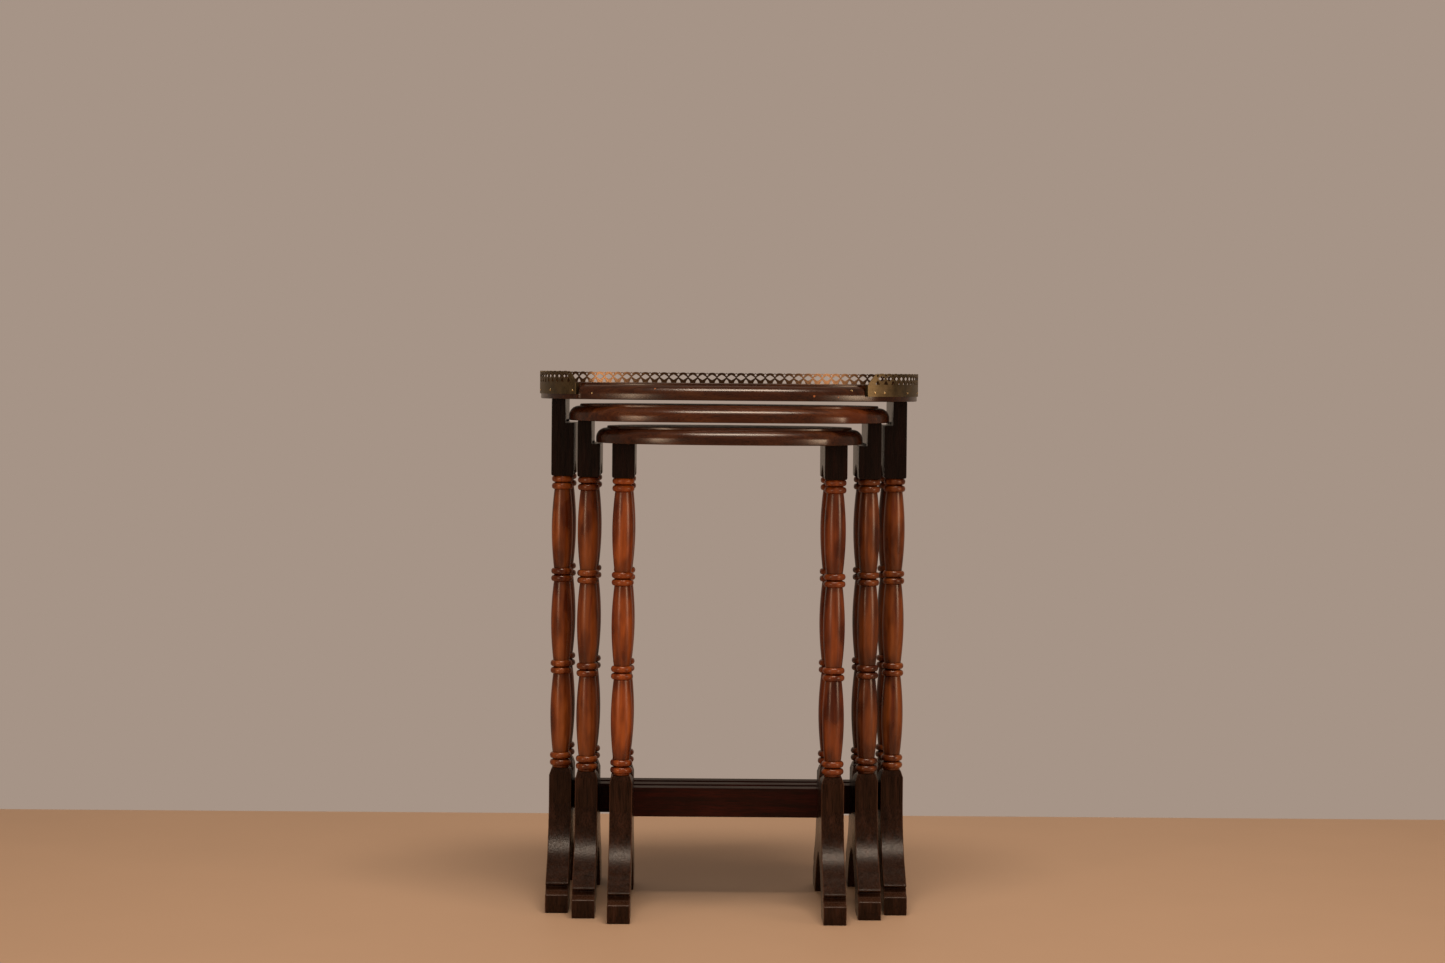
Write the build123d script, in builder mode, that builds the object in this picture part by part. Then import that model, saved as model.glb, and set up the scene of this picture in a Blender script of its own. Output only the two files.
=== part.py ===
"""Nest of three occasional tables with turned legs; the largest has a brass gallery.

Millimetres, +Z up, +X to the user's right, the smaller tables slide out towards -Y.
The origin is on the floor, in the middle of the nest's footprint.
"""
from build123d import *
from math import atan2, degrees, sqrt
import os

os.makedirs("parts", exist_ok=True)

# ---- heights ----
nest_height = 548.5        # floor to the largest table's top surface
top_thickness = 17.5
top_air_gap = 5.0          # between one top's underside and the next top's surface
rail_drop = 81.0           # from the largest top's underside to every rail's, where spindles end
post_top = 141.0           # top of every foot's posts, where the spindles start

# ---- frame ----
leg_size = 23.5            # thickness of rails and feet, and width of their posts
spindle_spacing = 88.0     # front to rear spindle, centre to centre
large_leg_spacing = 350.6  # left to right spindle, centre to centre
medium_side_gap = 5.05     # between the large and the medium table's frames, each side
small_side_gap = 13.4      # between the medium and the small table's frames, each side
pull_forward = 30.0        # how far each table stands in front of the next larger one

# ---- tops ----
large_width = 401.6
large_depth = 301.6
large_front_bow = 310.0    # radii of the bowed front and back, the bowed ends and the corners
large_side_bow = 163.0
large_corner = 80.0
medium_depth = 272.0
medium_front_bow = 300.0
medium_side_bow = 152.0
medium_corner = 56.0
small_depth = 236.0
small_front_bow = 215.0
small_side_bow = 135.0
small_corner = 46.0
rebate_depth = 9.0         # cut into a rail's inner side, for the next top to pass
medium_top_gap = 3.0       # sideways, between the medium top and the large rails' rebates
small_top_gap = 4.0        # sideways, between the small top and the medium rails' rebates
medium_drop_gap = 3.0      # below the medium top, down to the large rails' rebate floor
small_drop_gap = 1.5       # below the small top, down to the medium rails' rebate floor
ovolo_radius = 10.5        # quarter round on a top's edge
ovolo_set_back = 1.0       # flat shelf between the quarter round and the raised field
field_step = 2.3           # small step up from the quarter round to the flat field

# ---- rails ----
rail_arch_rise = 13.0      # hollow in the rail's lower edge between the spindles
rail_bevel = 0.8           # arrises of a rail's upright edges
tenon_radius = 6.0
tenon_length = 18.0
mortise_air = 1.0          # spare depth past the end of a tenon

# ---- spindles ----
neck_radius = 8.9
swell_radius = 11.2
bead_radius = 3.3
bead_spacing = 7.6
bead_reach = 11.1          # from the axis to the outside of a bead
groove_radius = 8.3
swells = 3
low_bead_inset = 9.2       # from the post's top to the middle of the lowest pair of beads
high_bead_inset = 7.2      # from the rail's underside to the middle of the highest pair

# ---- feet ----
foot_length = 257.0
saddle_depth = 13.0        # hollow between the two posts
post_edge = 2.0            # small bevel round a post's top
crease_height = 106.0      # where the post's upright face turns into the sweep
sweep_radius = 82.0        # hollow sweep below the crease
sweep_reach = 42.8         # from the post's face out to the end of the sweep
sweep_end = 44.9           # height where the sweep ends
brow_height = 30.0         # nose of the sweep, just above the quirk
brow_inset = 8.0           # from the toe's tip back to the nose of the sweep
quirk_height = 26.5
quirk_inset = 13.0
toe_height = 21.5
toe_tip_height = 15.0
heel_inset = 2.0
foot_arch_width = 154.0    # pointed opening between the toes, at the floor
foot_arch_height = 55.0
foot_arch_radius = 100.0

# ---- stretcher ----
stretcher_bottom = 86.0
stretcher_height = 31.0
stretcher_thickness = 19.0
stretcher_tenon = 12.0     # how far each stub tenon goes into its foot
stretcher_shoulder = 5.0   # tenon smaller than the rail all round
stretcher_bevel = 1.0

# ---- top screws ----
screw_radius = 2.0
screw_head_radius = 4.2
screw_head_height = 2.6
screw_bite = 11.0          # length of thread in the top
screw_grip = 22.0          # wood left between the counterbore and the top
screw_spacing = 34.0       # two screws in each rail, between the spindles
counterbore_radius = 5.0

# ---- brass gallery ----
strip_thickness = 1.0
strip_proud = 0.2          # play between the strip and the top's edge
strip_drop = 12.2          # cover below the top's surface
strip_rise = 12.0          # height above the top's surface
opening_left = 160.2       # the strip's ends, left and right of the middle of the front
opening_right = 142.0
kerf_width = 3.5           # slot in the edge beside each end of the strip
kerf_depth = 6.0
tab_length = 4.5           # end of the strip turned into the slot
end_slope = 8.0            # how far the pierced part leans back at each end
end_lip = 1.5              # plain height above the surface before the slope starts
lattice_pitch = 10.8
lattice_hole = 4.6         # side of a diamond opening
lattice_height = 6.6       # middle of the openings above the top's surface

# ---- pins ----
pin_spacing = 44.0
pin_drop = 8.2             # pins below the top's surface
pin_radius = 0.6
pin_length = 8.0
pin_head_radius = 1.2
pin_head_height = 0.8
nail_inset = 14.0          # front nails, from the ends of the moulding
nail_drops = (11.0, 6.0)   # left and right nail below the surface
nail_radius = 0.8
nail_length = 9.0
nail_proud = 0.3

# ---- the three tables, worked out from the sizes above ----
medium_leg_spacing = large_leg_spacing - 2 * (leg_size + medium_side_gap)
small_leg_spacing = medium_leg_spacing - 2 * (leg_size + small_side_gap)
medium_width = large_leg_spacing - leg_size + 2 * (rebate_depth - medium_top_gap)
small_width = medium_leg_spacing - leg_size + 2 * (rebate_depth - small_top_gap)
top_step = top_thickness + top_air_gap
large_under = nest_height - top_thickness
rail_bottom = large_under - rail_drop
medium_under = large_under - top_step
small_under = medium_under - top_step

strip_out = strip_proud + strip_thickness
nest_front = max(foot_length, small_depth) / 2 + 2 * pull_forward
nest_back = max(foot_length / 2, large_depth / 2 + strip_out)
large_y = (nest_front - nest_back) / 2
medium_y = large_y - pull_forward
small_y = medium_y - pull_forward


class Table:
    """Sizes of one table of the nest."""

    def __init__(self, name, y, width, depth, front_bow, side_bow, corner, leg_spacing,
                 under, rebate_floor):
        self.name = name
        self.y = y
        self.width = width
        self.depth = depth
        self.front_bow = front_bow
        self.side_bow = side_bow
        self.corner = corner
        self.leg_x = leg_spacing / 2
        self.under = under
        self.rebate_floor = rebate_floor


large = Table("large", large_y, large_width, large_depth, large_front_bow, large_side_bow,
              large_corner, large_leg_spacing, large_under, medium_under - medium_drop_gap)
medium = Table("medium", medium_y, medium_width, medium_depth, medium_front_bow,
               medium_side_bow, medium_corner, medium_leg_spacing, medium_under,
               small_under - small_drop_gap)
small = Table("small", small_y, small_width, small_depth, small_front_bow, small_side_bow,
              small_corner, small_leg_spacing, small_under, None)

sides = {"left": -1, "right": 1}
ends = {"front": -1, "rear": 1}


def save(part, label):
    """Name a finished piece and write it to its own file."""
    part.label = label
    export_step(part, f"parts/{label}.step")


# ---- tops: bowed on all four sides, with soft corners ----
def corner_centre(table):
    """Middle of the front right corner's arc, which meets the front and side bows smoothly."""
    front = Vector(0, table.front_bow - table.depth / 2)
    side = Vector(table.width / 2 - table.side_bow, 0)
    from_front = table.front_bow - table.corner
    from_side = table.side_bow - table.corner
    apart = (side - front).length
    along = (from_front ** 2 - from_side ** 2 + apart ** 2) / (2 * apart)
    across = sqrt(from_front ** 2 - along ** 2)
    heading = (side - front) / apart
    return front + heading * along + Vector(-heading.Y, heading.X) * across


def outline(table, grow=0.0):
    """The plan shape of a top, grown or shrunk, as a sketch centred on its frame."""
    front = Vector(0, table.front_bow - table.depth / 2)
    side = Vector(table.width / 2 - table.side_bow, 0)
    corner = corner_centre(table)
    front_turn = degrees(atan2(corner.X - front.X, front.Y - corner.Y))
    side_turn = degrees(atan2(side.Y - corner.Y, corner.X - side.X))
    with BuildSketch() as plan:
        with BuildLine():
            CenterArc(front, table.front_bow + grow, -90, front_turn)
            CenterArc(corner, table.corner + grow, front_turn - 90, 90 - front_turn - side_turn)
            CenterArc(side, table.side_bow + grow, -side_turn, side_turn)
            mirror(about=Plane.XZ)
            mirror(about=Plane.YZ)
        make_face()
    return plan.sketch


def slab(table, low, high, grow=0.0):
    """A plate of a top's plan shape, grown or shrunk, between two heights."""
    with BuildPart() as plate:
        with BuildSketch(Plane((0, table.y, low))):
            add(outline(table, grow))
        extrude(amount=high - low)
    return plate.part


def moulded_board(table):
    """A top board with a quarter round and a small step all round its upper edge."""
    shoulder = table.under + top_thickness - field_step
    with BuildPart() as board:
        add(slab(table, table.under, shoulder))
        fillet(board.edges().group_by(Axis.Z)[-1], ovolo_radius)
        add(slab(table, shoulder, shoulder + field_step, -ovolo_radius - ovolo_set_back))
    return board.part


def front_window(x_low, x_high, low_z, high_z):
    """A block that holds the front half of the large top between two planes across it."""
    with BuildPart() as block:
        with Locations(((x_low + x_high) / 2, large.y - large_depth / 2, (low_z + high_z) / 2)):
            Box(x_high - x_low, large_depth, high_z - low_z)
    return block.part


# ---- screws that hold a top down, driven up through the rails ----
def screw_places(table):
    return [(side * table.leg_x, table.y + end * screw_spacing / 2)
            for side in sides.values() for end in ends.values()]


def screws(table):
    head_z = table.under - screw_grip
    with BuildPart() as group:
        for x, y in screw_places(table):
            with BuildSketch(Plane((x, y, head_z))):
                Circle(screw_radius)
            extrude(amount=screw_grip + screw_bite)
            with BuildSketch(Plane((x, y, head_z - screw_head_height))):
                Circle(screw_head_radius)
            extrude(amount=screw_head_height)
    return group.part


def screw_holes(table):
    """Each screw's shank hole and the counterbore below its head, as one cutter."""
    with BuildPart() as cutter:
        for x, y in screw_places(table):
            with BuildSketch(Plane((x, y, table.under - screw_grip))):
                Circle(screw_radius)
            extrude(amount=screw_grip + screw_bite)
            with BuildSketch(Plane((x, y, rail_bottom))):
                Circle(counterbore_radius)
            extrude(amount=table.under - screw_grip - rail_bottom)
    return cutter.part


# ---- side rails: one board over each pair of spindles ----
def rail(table, side):
    half = spindle_spacing / 2 + leg_size / 2
    arch_half = spindle_spacing / 2 - leg_size / 2
    inner_x = side * (table.leg_x - leg_size / 2)
    with BuildPart() as board:
        with BuildSketch(Plane((side * table.leg_x, table.y, 0), x_dir=(0, 1, 0),
                               z_dir=(1, 0, 0))):
            with BuildLine():
                ThreePointArc((-arch_half, rail_bottom), (0, rail_bottom + rail_arch_rise),
                              (arch_half, rail_bottom))
                Polyline((arch_half, rail_bottom), (half, rail_bottom), (half, table.under),
                         (-half, table.under), (-half, rail_bottom), (-arch_half, rail_bottom))
            make_face()
        extrude(amount=leg_size / 2, both=True)
        chamfer(board.edges().filter_by(Axis.Z), rail_bevel)
        if table.rebate_floor:
            with Locations((inner_x, table.y, (table.rebate_floor + table.under) / 2)):
                Box(2 * rebate_depth, 3 * half, table.under - table.rebate_floor,
                    mode=Mode.SUBTRACT)
        for end in ends.values():
            with BuildSketch(Plane((side * table.leg_x, table.y + end * spindle_spacing / 2,
                                    rail_bottom))):
                Circle(tenon_radius)
            extrude(amount=tenon_length + mortise_air, mode=Mode.SUBTRACT)
        add(screw_holes(table), mode=Mode.SUBTRACT)
    return board.part


# ---- spindles: four pairs of beads with three long swells between them ----
def spindle(x, y):
    low_pair = post_top + low_bead_inset
    pair_pitch = (rail_bottom - high_bead_inset - low_pair) / swells
    with BuildPart() as turning:
        with BuildSketch(Plane((x, y, 0), x_dir=(1, 0, 0), z_dir=(0, -1, 0))):
            with BuildLine() as profile:
                Polyline((0, post_top - tenon_length), (tenon_radius, post_top - tenon_length),
                         (tenon_radius, post_top), (neck_radius, post_top))
                for pair in range(swells + 1):
                    middle = low_pair + pair * pair_pitch
                    for bead in (-1, 1):
                        z = middle + bead * bead_spacing / 2
                        start = neck_radius if bead < 0 else groove_radius
                        stop = groove_radius if bead < 0 else neck_radius
                        if bead > 0 or pair == 0:
                            Line(profile.line @ 1, (start, z - bead_radius))
                        ThreePointArc((start, z - bead_radius), (bead_reach, z),
                                      (stop, z + bead_radius))
                    if pair < swells:
                        next_bead = middle + pair_pitch - bead_spacing / 2 - bead_radius
                        ThreePointArc(profile.line @ 1,
                                      (swell_radius, middle + pair_pitch / 2),
                                      (neck_radius, next_bead))
                Polyline(profile.line @ 1, (tenon_radius, rail_bottom),
                         (tenon_radius, rail_bottom + tenon_length),
                         (0, rail_bottom + tenon_length), (0, post_top - tenon_length))
            make_face()
        revolve(axis=Axis((x, y, 0), (0, 0, 1)))
    return turning.part


# ---- feet: one fretted board each, with a post under each spindle ----
def foot(table, side):
    inner = spindle_spacing / 2 - leg_size / 2
    outer = spindle_spacing / 2 + leg_size / 2
    tip = foot_length / 2
    arch_half = foot_arch_width / 2
    face_x = side * table.leg_x - leg_size / 2
    with BuildPart() as board:
        with BuildSketch(Plane((face_x, table.y, 0), x_dir=(0, 1, 0), z_dir=(1, 0, 0))):
            with BuildLine() as profile:
                RadiusArc((arch_half, 0), (0, foot_arch_height), -foot_arch_radius)
                Line((0, foot_arch_height), (0, post_top - saddle_depth))
                RadiusArc((0, post_top - saddle_depth), (inner, post_top - post_edge),
                          -(inner ** 2 + (saddle_depth - post_edge) ** 2)
                          / (2 * (saddle_depth - post_edge)))
                Polyline((inner, post_top - post_edge), (inner + post_edge, post_top),
                         (outer - post_edge, post_top), (outer, post_top - post_edge),
                         (outer, crease_height))
                RadiusArc((outer, crease_height), (outer + sweep_reach, sweep_end),
                          -sweep_radius)
                TangentArc(profile.line @ 1, (tip - brow_inset, brow_height),
                           tangent=profile.line % 1)
                Line((tip - brow_inset, brow_height), (tip - quirk_inset, quirk_height))
                Line((tip - quirk_inset, quirk_height), (tip - brow_inset, toe_height))
                TangentArc((tip - brow_inset, toe_height), (tip, toe_tip_height), tangent=(1, 0))
                Polyline((tip, toe_tip_height), (tip - heel_inset, 0), (arch_half, 0))
            make_face()
            mirror(about=Plane.YZ)
        extrude(amount=leg_size)
        for end in ends.values():
            with BuildSketch(Plane((side * table.leg_x, table.y + end * spindle_spacing / 2,
                                    post_top - tenon_length - mortise_air))):
                Circle(tenon_radius)
            extrude(amount=tenon_length + mortise_air, mode=Mode.SUBTRACT)
        add(stretcher_bar(table, table.leg_x - leg_size / 2 + stretcher_tenon,
                          stretcher_shoulder), mode=Mode.SUBTRACT)
    return board.part


# ---- stretcher: a rail between the rear posts, with a stub tenon in each foot ----
def stretcher_bar(table, half_length, inset):
    """A bar along X at the stretcher's place, smaller than the stretcher by inset all round."""
    with BuildPart() as bar:
        with Locations((0, table.y + spindle_spacing / 2, stretcher_bottom + stretcher_height / 2)):
            Box(2 * half_length, stretcher_thickness - 2 * inset, stretcher_height - 2 * inset)
    return bar.part


def stretcher(table):
    half_span = table.leg_x - leg_size / 2
    with BuildPart() as bar:
        add(stretcher_bar(table, half_span, 0))
        chamfer(bar.edges().filter_by(Axis.X).group_by(Axis.Z)[-1], stretcher_bevel)
        add(stretcher_bar(table, half_span + stretcher_tenon, stretcher_shoulder))
    return bar.part


# ---- the gallery's own places ----
surface = nest_height
moulding_left = opening_left - kerf_width
moulding_right = opening_right - kerf_width


def around(pitch, height):
    """Planes on the strip's outside, evenly spaced and facing out, clear of the open front."""
    path = outline(large, strip_out).face().outer_wire()
    count = round(path.length / pitch)
    planes = []
    for step in range(count):
        point = path.position_at(step / count)
        along = path.tangent_at(step / count)
        clear = pitch / 4 + strip_out
        in_front = point.Y < 0 and -opening_left - clear < point.X < opening_right + clear
        if not in_front:
            out = along.cross(Vector(0, 0, 1))
            if out.dot(Vector(point.X, point.Y, 0)) < 0:
                out = -out
            planes.append(Plane((point.X, point.Y + large.y, height), x_dir=along, z_dir=out))
    return planes


pin_planes = around(pin_spacing, surface - pin_drop)


def pin_shanks():
    with BuildPart() as shanks:
        with BuildSketch(*pin_planes):
            Circle(pin_radius)
        extrude(amount=-pin_length)
    return shanks.part


def kerf(x_low, x_high, deep, low_z, high_z):
    """The part of the top's rim, deep inwards, between two planes across the front."""
    with BuildPart() as slot:
        add(slab(large, low_z, high_z, strip_out))
        add(slab(large, low_z, high_z, -deep), mode=Mode.SUBTRACT)
        add(front_window(x_low, x_high, low_z, high_z), mode=Mode.INTERSECT)
    return slot.part


def front_nail(x, drop):
    """One nail of the moulded front, level, with its head just proud of the quarter round."""
    z = surface - drop
    lift = max(0, z - (surface - field_step - ovolo_radius))
    set_in = ovolo_radius - sqrt(ovolo_radius ** 2 - lift ** 2)
    face_y = large.y + large.front_bow - large_depth / 2 - sqrt(large.front_bow ** 2 - x ** 2)
    with BuildPart() as nail:
        with BuildSketch(Plane((x, face_y + set_in - nail_proud, z), x_dir=(1, 0, 0),
                               z_dir=(0, 1, 0))):
            Circle(nail_radius)
        extrude(amount=nail_length)
    return nail.part


def front_nails():
    with BuildPart() as nails:
        add(front_nail(-(moulding_left - nail_inset), nail_drops[0]))
        add(front_nail(moulding_right - nail_inset, nail_drops[1]))
    return nails.part


# ---- the large top: square edge under the strip, moulded only across the front ----
with BuildPart() as front_waste:
    add(slab(large, large_under, surface))
    add(moulded_board(large), mode=Mode.SUBTRACT)
    add(front_window(-moulding_left, moulding_right, large_under, surface),
        mode=Mode.INTERSECT)

with BuildPart() as large_top:
    add(slab(large, large_under, surface))
    add(front_waste.part, mode=Mode.SUBTRACT)
    add(kerf(-opening_left, -moulding_left, kerf_depth, surface - strip_drop, surface),
        mode=Mode.SUBTRACT)
    add(kerf(moulding_right, opening_right, kerf_depth, surface - strip_drop, surface),
        mode=Mode.SUBTRACT)
    add(screws(large), mode=Mode.SUBTRACT)
    add(pin_shanks(), mode=Mode.SUBTRACT)
    add(front_nails(), mode=Mode.SUBTRACT)
save(large_top.part, "large_top")

# ---- the gallery: one strip with diamond openings, its ends turned into the slots ----
strip_low = surface - strip_drop
strip_high = surface + strip_rise
with BuildPart() as gallery:
    add(slab(large, strip_low, strip_high, strip_out))
    add(slab(large, strip_low, strip_high, strip_proud), mode=Mode.SUBTRACT)
    with BuildSketch(Plane((0, large.y, 0), x_dir=(1, 0, 0), z_dir=(0, -1, 0))):
        with BuildLine():
            Polyline((-opening_left, strip_low), (opening_right, strip_low),
                     (opening_right, surface + end_lip), (opening_right + end_slope, strip_high),
                     (-opening_left - end_slope, strip_high), (-opening_left, surface + end_lip),
                     close=True)
        make_face()
    extrude(amount=large_depth, mode=Mode.SUBTRACT)
    with BuildSketch(*around(lattice_pitch, surface + lattice_height)):
        Rectangle(lattice_hole, lattice_hole, rotation=45)
    extrude(amount=-3 * strip_thickness, mode=Mode.SUBTRACT)
    add(kerf(-opening_left, -opening_left + strip_thickness, tab_length, strip_low, surface))
    add(kerf(opening_right - strip_thickness, opening_right, tab_length, strip_low, surface))
    add(pin_shanks(), mode=Mode.SUBTRACT)
save(gallery.part, "gallery")

with BuildPart() as gallery_pins:
    with BuildSketch(*pin_planes):
        Circle(pin_head_radius)
    extrude(amount=pin_head_height)
    fillet(gallery_pins.edges().filter_by(GeomType.CIRCLE), pin_head_height / 3)
    add(pin_shanks())
save(gallery_pins.part, "gallery_pins")

save(front_nails(), "front_nails")

# ---- the smaller tops ----
for table in (medium, small):
    with BuildPart() as top:
        add(moulded_board(table))
        add(screws(table), mode=Mode.SUBTRACT)
    save(top.part, f"{table.name}_top")

# ---- the frames ----
for table in (large, medium, small):
    for side_name, side in sides.items():
        save(rail(table, side), f"{table.name}_{side_name}_rail")
        save(foot(table, side), f"{table.name}_{side_name}_foot")
        for end_name, end in ends.items():
            turning = spindle(side * table.leg_x, table.y + end * spindle_spacing / 2)
            save(turning, f"{table.name}_{side_name}_{end_name}_spindle")
    save(stretcher(table), f"{table.name}_stretcher")
    save(screws(table), f"{table.name}_top_screws")
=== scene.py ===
"""A nest of three tables: turned spindles on trestle feet, moulded mahogany tops, a brass gallery.

Metres, +Z up, +X to the user's right. The smaller tables slide out towards -Y.
"""
from bisect import bisect_right
from math import atan2, ceil, cos, hypot, pi, radians, sin, sqrt

import bpy
from mathutils import Matrix, Vector
from mathutils.geometry import delaunay_2d_cdt


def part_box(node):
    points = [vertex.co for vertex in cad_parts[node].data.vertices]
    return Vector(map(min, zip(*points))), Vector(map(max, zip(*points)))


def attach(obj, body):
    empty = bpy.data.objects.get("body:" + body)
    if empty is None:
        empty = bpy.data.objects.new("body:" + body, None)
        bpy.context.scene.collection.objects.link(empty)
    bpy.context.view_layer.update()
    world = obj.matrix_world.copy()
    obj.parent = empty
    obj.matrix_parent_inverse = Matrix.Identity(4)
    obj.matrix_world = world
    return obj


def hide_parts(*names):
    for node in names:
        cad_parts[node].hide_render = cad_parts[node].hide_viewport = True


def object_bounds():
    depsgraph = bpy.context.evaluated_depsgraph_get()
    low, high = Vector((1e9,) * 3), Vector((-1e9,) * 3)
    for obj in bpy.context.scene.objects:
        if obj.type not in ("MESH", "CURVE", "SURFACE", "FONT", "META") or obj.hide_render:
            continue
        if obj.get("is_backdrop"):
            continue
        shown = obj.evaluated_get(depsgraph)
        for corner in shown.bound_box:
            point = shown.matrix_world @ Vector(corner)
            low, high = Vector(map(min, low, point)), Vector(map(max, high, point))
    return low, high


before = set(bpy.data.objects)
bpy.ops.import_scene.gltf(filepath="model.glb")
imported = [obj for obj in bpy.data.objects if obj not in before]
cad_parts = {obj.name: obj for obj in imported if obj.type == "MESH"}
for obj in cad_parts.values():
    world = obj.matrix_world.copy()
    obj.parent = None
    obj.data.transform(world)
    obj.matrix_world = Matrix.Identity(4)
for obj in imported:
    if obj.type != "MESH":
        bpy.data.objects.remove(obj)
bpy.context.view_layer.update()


# ---- Feet ---------------------------------------------------------------------------------
# Each foot is one board, fretted to a swept trestle with a post under each spindle. It is a
# close-grained hardwood stained nearly black, waxed, and rubbed back to brown on its arrises.
mm = 0.001
tables = {"large": "large_table", "medium": "medium_table", "small": "small_table"}
sides = {"left": -1, "right": 1}


def linear(code):
    """An sRGB hex colour as the linear RGBA that a shader takes."""
    parts = [int(code[i:i + 2], 16) / 255 for i in (1, 3, 5)]
    return [c / 12.92 if c <= 0.04045 else ((c + 0.055) / 1.055) ** 2.4 for c in parts] + [1]


def node(tree, kind, settings=None, **inputs):
    """Add a node. A setting is an attribute, an input is a value or another node's output.

    In an input's name, _ stands for a space, and i2 is the third socket.
    """
    made = tree.nodes.new("ShaderNode" + kind)
    for key, value in (settings or {}).items():
        setattr(made, key, value)
    for key, value in inputs.items():
        name = int(key[1:]) if key[0] == "i" and key[1:].isdigit() else key.replace("_", " ")
        socket = made.inputs[name]
        if isinstance(value, bpy.types.NodeSocket):
            tree.links.new(value, socket)
        else:
            socket.default_value = value
    return made


def ramp(tree, factor, *stops):
    """Colours at places along 0 to 1, as a colour output; stops are (place, hex code)."""
    made = node(tree, "ValToRGB", Fac=factor)
    elements = made.color_ramp.elements
    while len(elements) < len(stops):
        elements.new(0.5)
    for element, (place, code) in zip(elements, stops):
        element.position = place
        element.color = linear(code)
    return made.outputs["Color"]


def new_material(name):
    """A material with a Principled shader, and its tree."""
    material = bpy.data.materials.new(name)
    material.use_nodes = True
    tree = material.node_tree
    return material, tree, tree.nodes["Principled BSDF"]


def grain(tree, along, size, stretch, detail=4.0):
    """Noise drawn out along one axis, as a wood's figure is; size is across the grain."""
    place = node(tree, "TexCoord").outputs["Object"]
    scale = [1 / size] * 3
    scale["XYZ".index(along)] /= stretch
    mapping = node(tree, "Mapping", Vector=place, Scale=scale)
    return node(tree, "TexNoise", Vector=mapping.outputs["Vector"], Scale=1.0, Detail=detail,
                Roughness=0.6).outputs["Fac"]


def stained_wood(name, along, codes, specular):
    """Black-brown stained hardwood: open pores along the grain, satin wax, worn arrises, and
    painted light on the toes' slopes.

    The pores are drawn wider than the real quarter of a millimetre, so that they show.
    """
    material, tree, shader = new_material(name)
    pores = grain(tree, along, 0.7 * mm, 24)
    figure = grain(tree, along, 6 * mm, 9)
    base = ramp(tree, figure, *zip((0.3, 0.55, 0.75), codes))
    dark = ramp(tree, pores, (0.36, "#6b5a50"), (0.56, "#ffffff"))
    grained = node(tree, "Mix", {"data_type": "RGBA", "blend_type": "MULTIPLY"},
                   i0=0.8, i6=base, i7=dark)
    # Worn arrises turn brown, and the toes' slopes are painted lighter, as light falling from
    # above.
    worn_and_lit = node(tree, "Attribute", {"attribute_name": "wear_and_painted_light"}).outputs["Fac"]
    patches = grain(tree, along, 11 * mm, 3)
    worn_and_lit_patches = node(tree, "Math", {"operation": "MULTIPLY"}, i0=worn_and_lit, i1=patches)
    brown = node(tree, "Mix", {"data_type": "RGBA"}, i0=worn_and_lit_patches.outputs[0],
                 i6=grained.outputs[2], i7=linear("#6a4836"))
    tree.links.new(brown.outputs[2], shader.inputs["Base Color"])
    streaks = grain(tree, along, 2 * mm, 14)
    gloss = node(tree, "MapRange", Value=streaks, From_Min=0.35, From_Max=0.65,
                 To_Min=0.2, To_Max=0.34)
    tree.links.new(gloss.outputs[0], shader.inputs["Roughness"])
    bump = node(tree, "Bump", Strength=0.35, Distance=0.12 * mm, Height=pores)
    wavy = node(tree, "Bump", Strength=0.6, Distance=0.3 * mm, Height=streaks,
                Normal=bump.outputs[0])
    tree.links.new(wavy.outputs[0], shader.inputs["Normal"])
    shader.inputs["Specular IOR Level"].default_value = specular
    return material


foot_wood = stained_wood("black_stained_hardwood_foot", "Z", ("#20120a", "#2f1c12", "#3e261b"),
                         0.15)


most_corners = 8               # a face with more corners than this is a flat cap


def piece(name, verts, faces, material, body, slot, *nodes, wear_and_painted_light=None, flat_below=30):
    """A mesh that rides on a body and stands for CAD nodes.

    Edges that turn by more than flat_below degrees stay crisp. The wear_and_painted_light of each
    vertex, from 0 to 1, marks where a material shows worn or changed colour, and where it paints
    light or shade.
    """
    mesh = bpy.data.meshes.new(name)
    mesh.from_pydata(verts, [], faces)
    mesh.validate()
    if wear_and_painted_light:
        mesh.attributes.new("wear_and_painted_light", "FLOAT", "POINT").data.foreach_set("value", wear_and_painted_light)
    mesh.shade_smooth()
    for polygon in mesh.polygons:
        polygon.use_smooth = polygon.loop_total <= most_corners
    mesh.set_sharp_from_angle(angle=radians(flat_below))
    made = bpy.data.objects.new(name, mesh)
    bpy.context.scene.collection.objects.link(made)
    mesh.materials.append(material)
    weighted = made.modifiers.new("even_shading", "WEIGHTED_NORMAL")
    weighted.keep_sharp = True
    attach(made, body)
    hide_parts(*nodes)
    return made


def loft(rings):
    """Quads between rings of as many points each, in order, open at both ends."""
    verts = [point for ring in rings for point in ring]
    count = len(rings[0])
    faces = []
    for r in range(len(rings) - 1):
        low, high = r * count, (r + 1) * count
        for i in range(count):
            j = (i + 1) % count
            faces.append((low + i, low + j, high + j, high + i))
    return verts, faces


def arc(centre, radius, start, stop, steps):
    """Points on an arc, from one angle to another in degrees, both ends with it."""
    angles = [radians(start + (stop - start) * i / steps) for i in range(steps + 1)]
    return [(centre[0] + radius * cos(a), centre[1] + radius * sin(a)) for a in angles]


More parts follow.
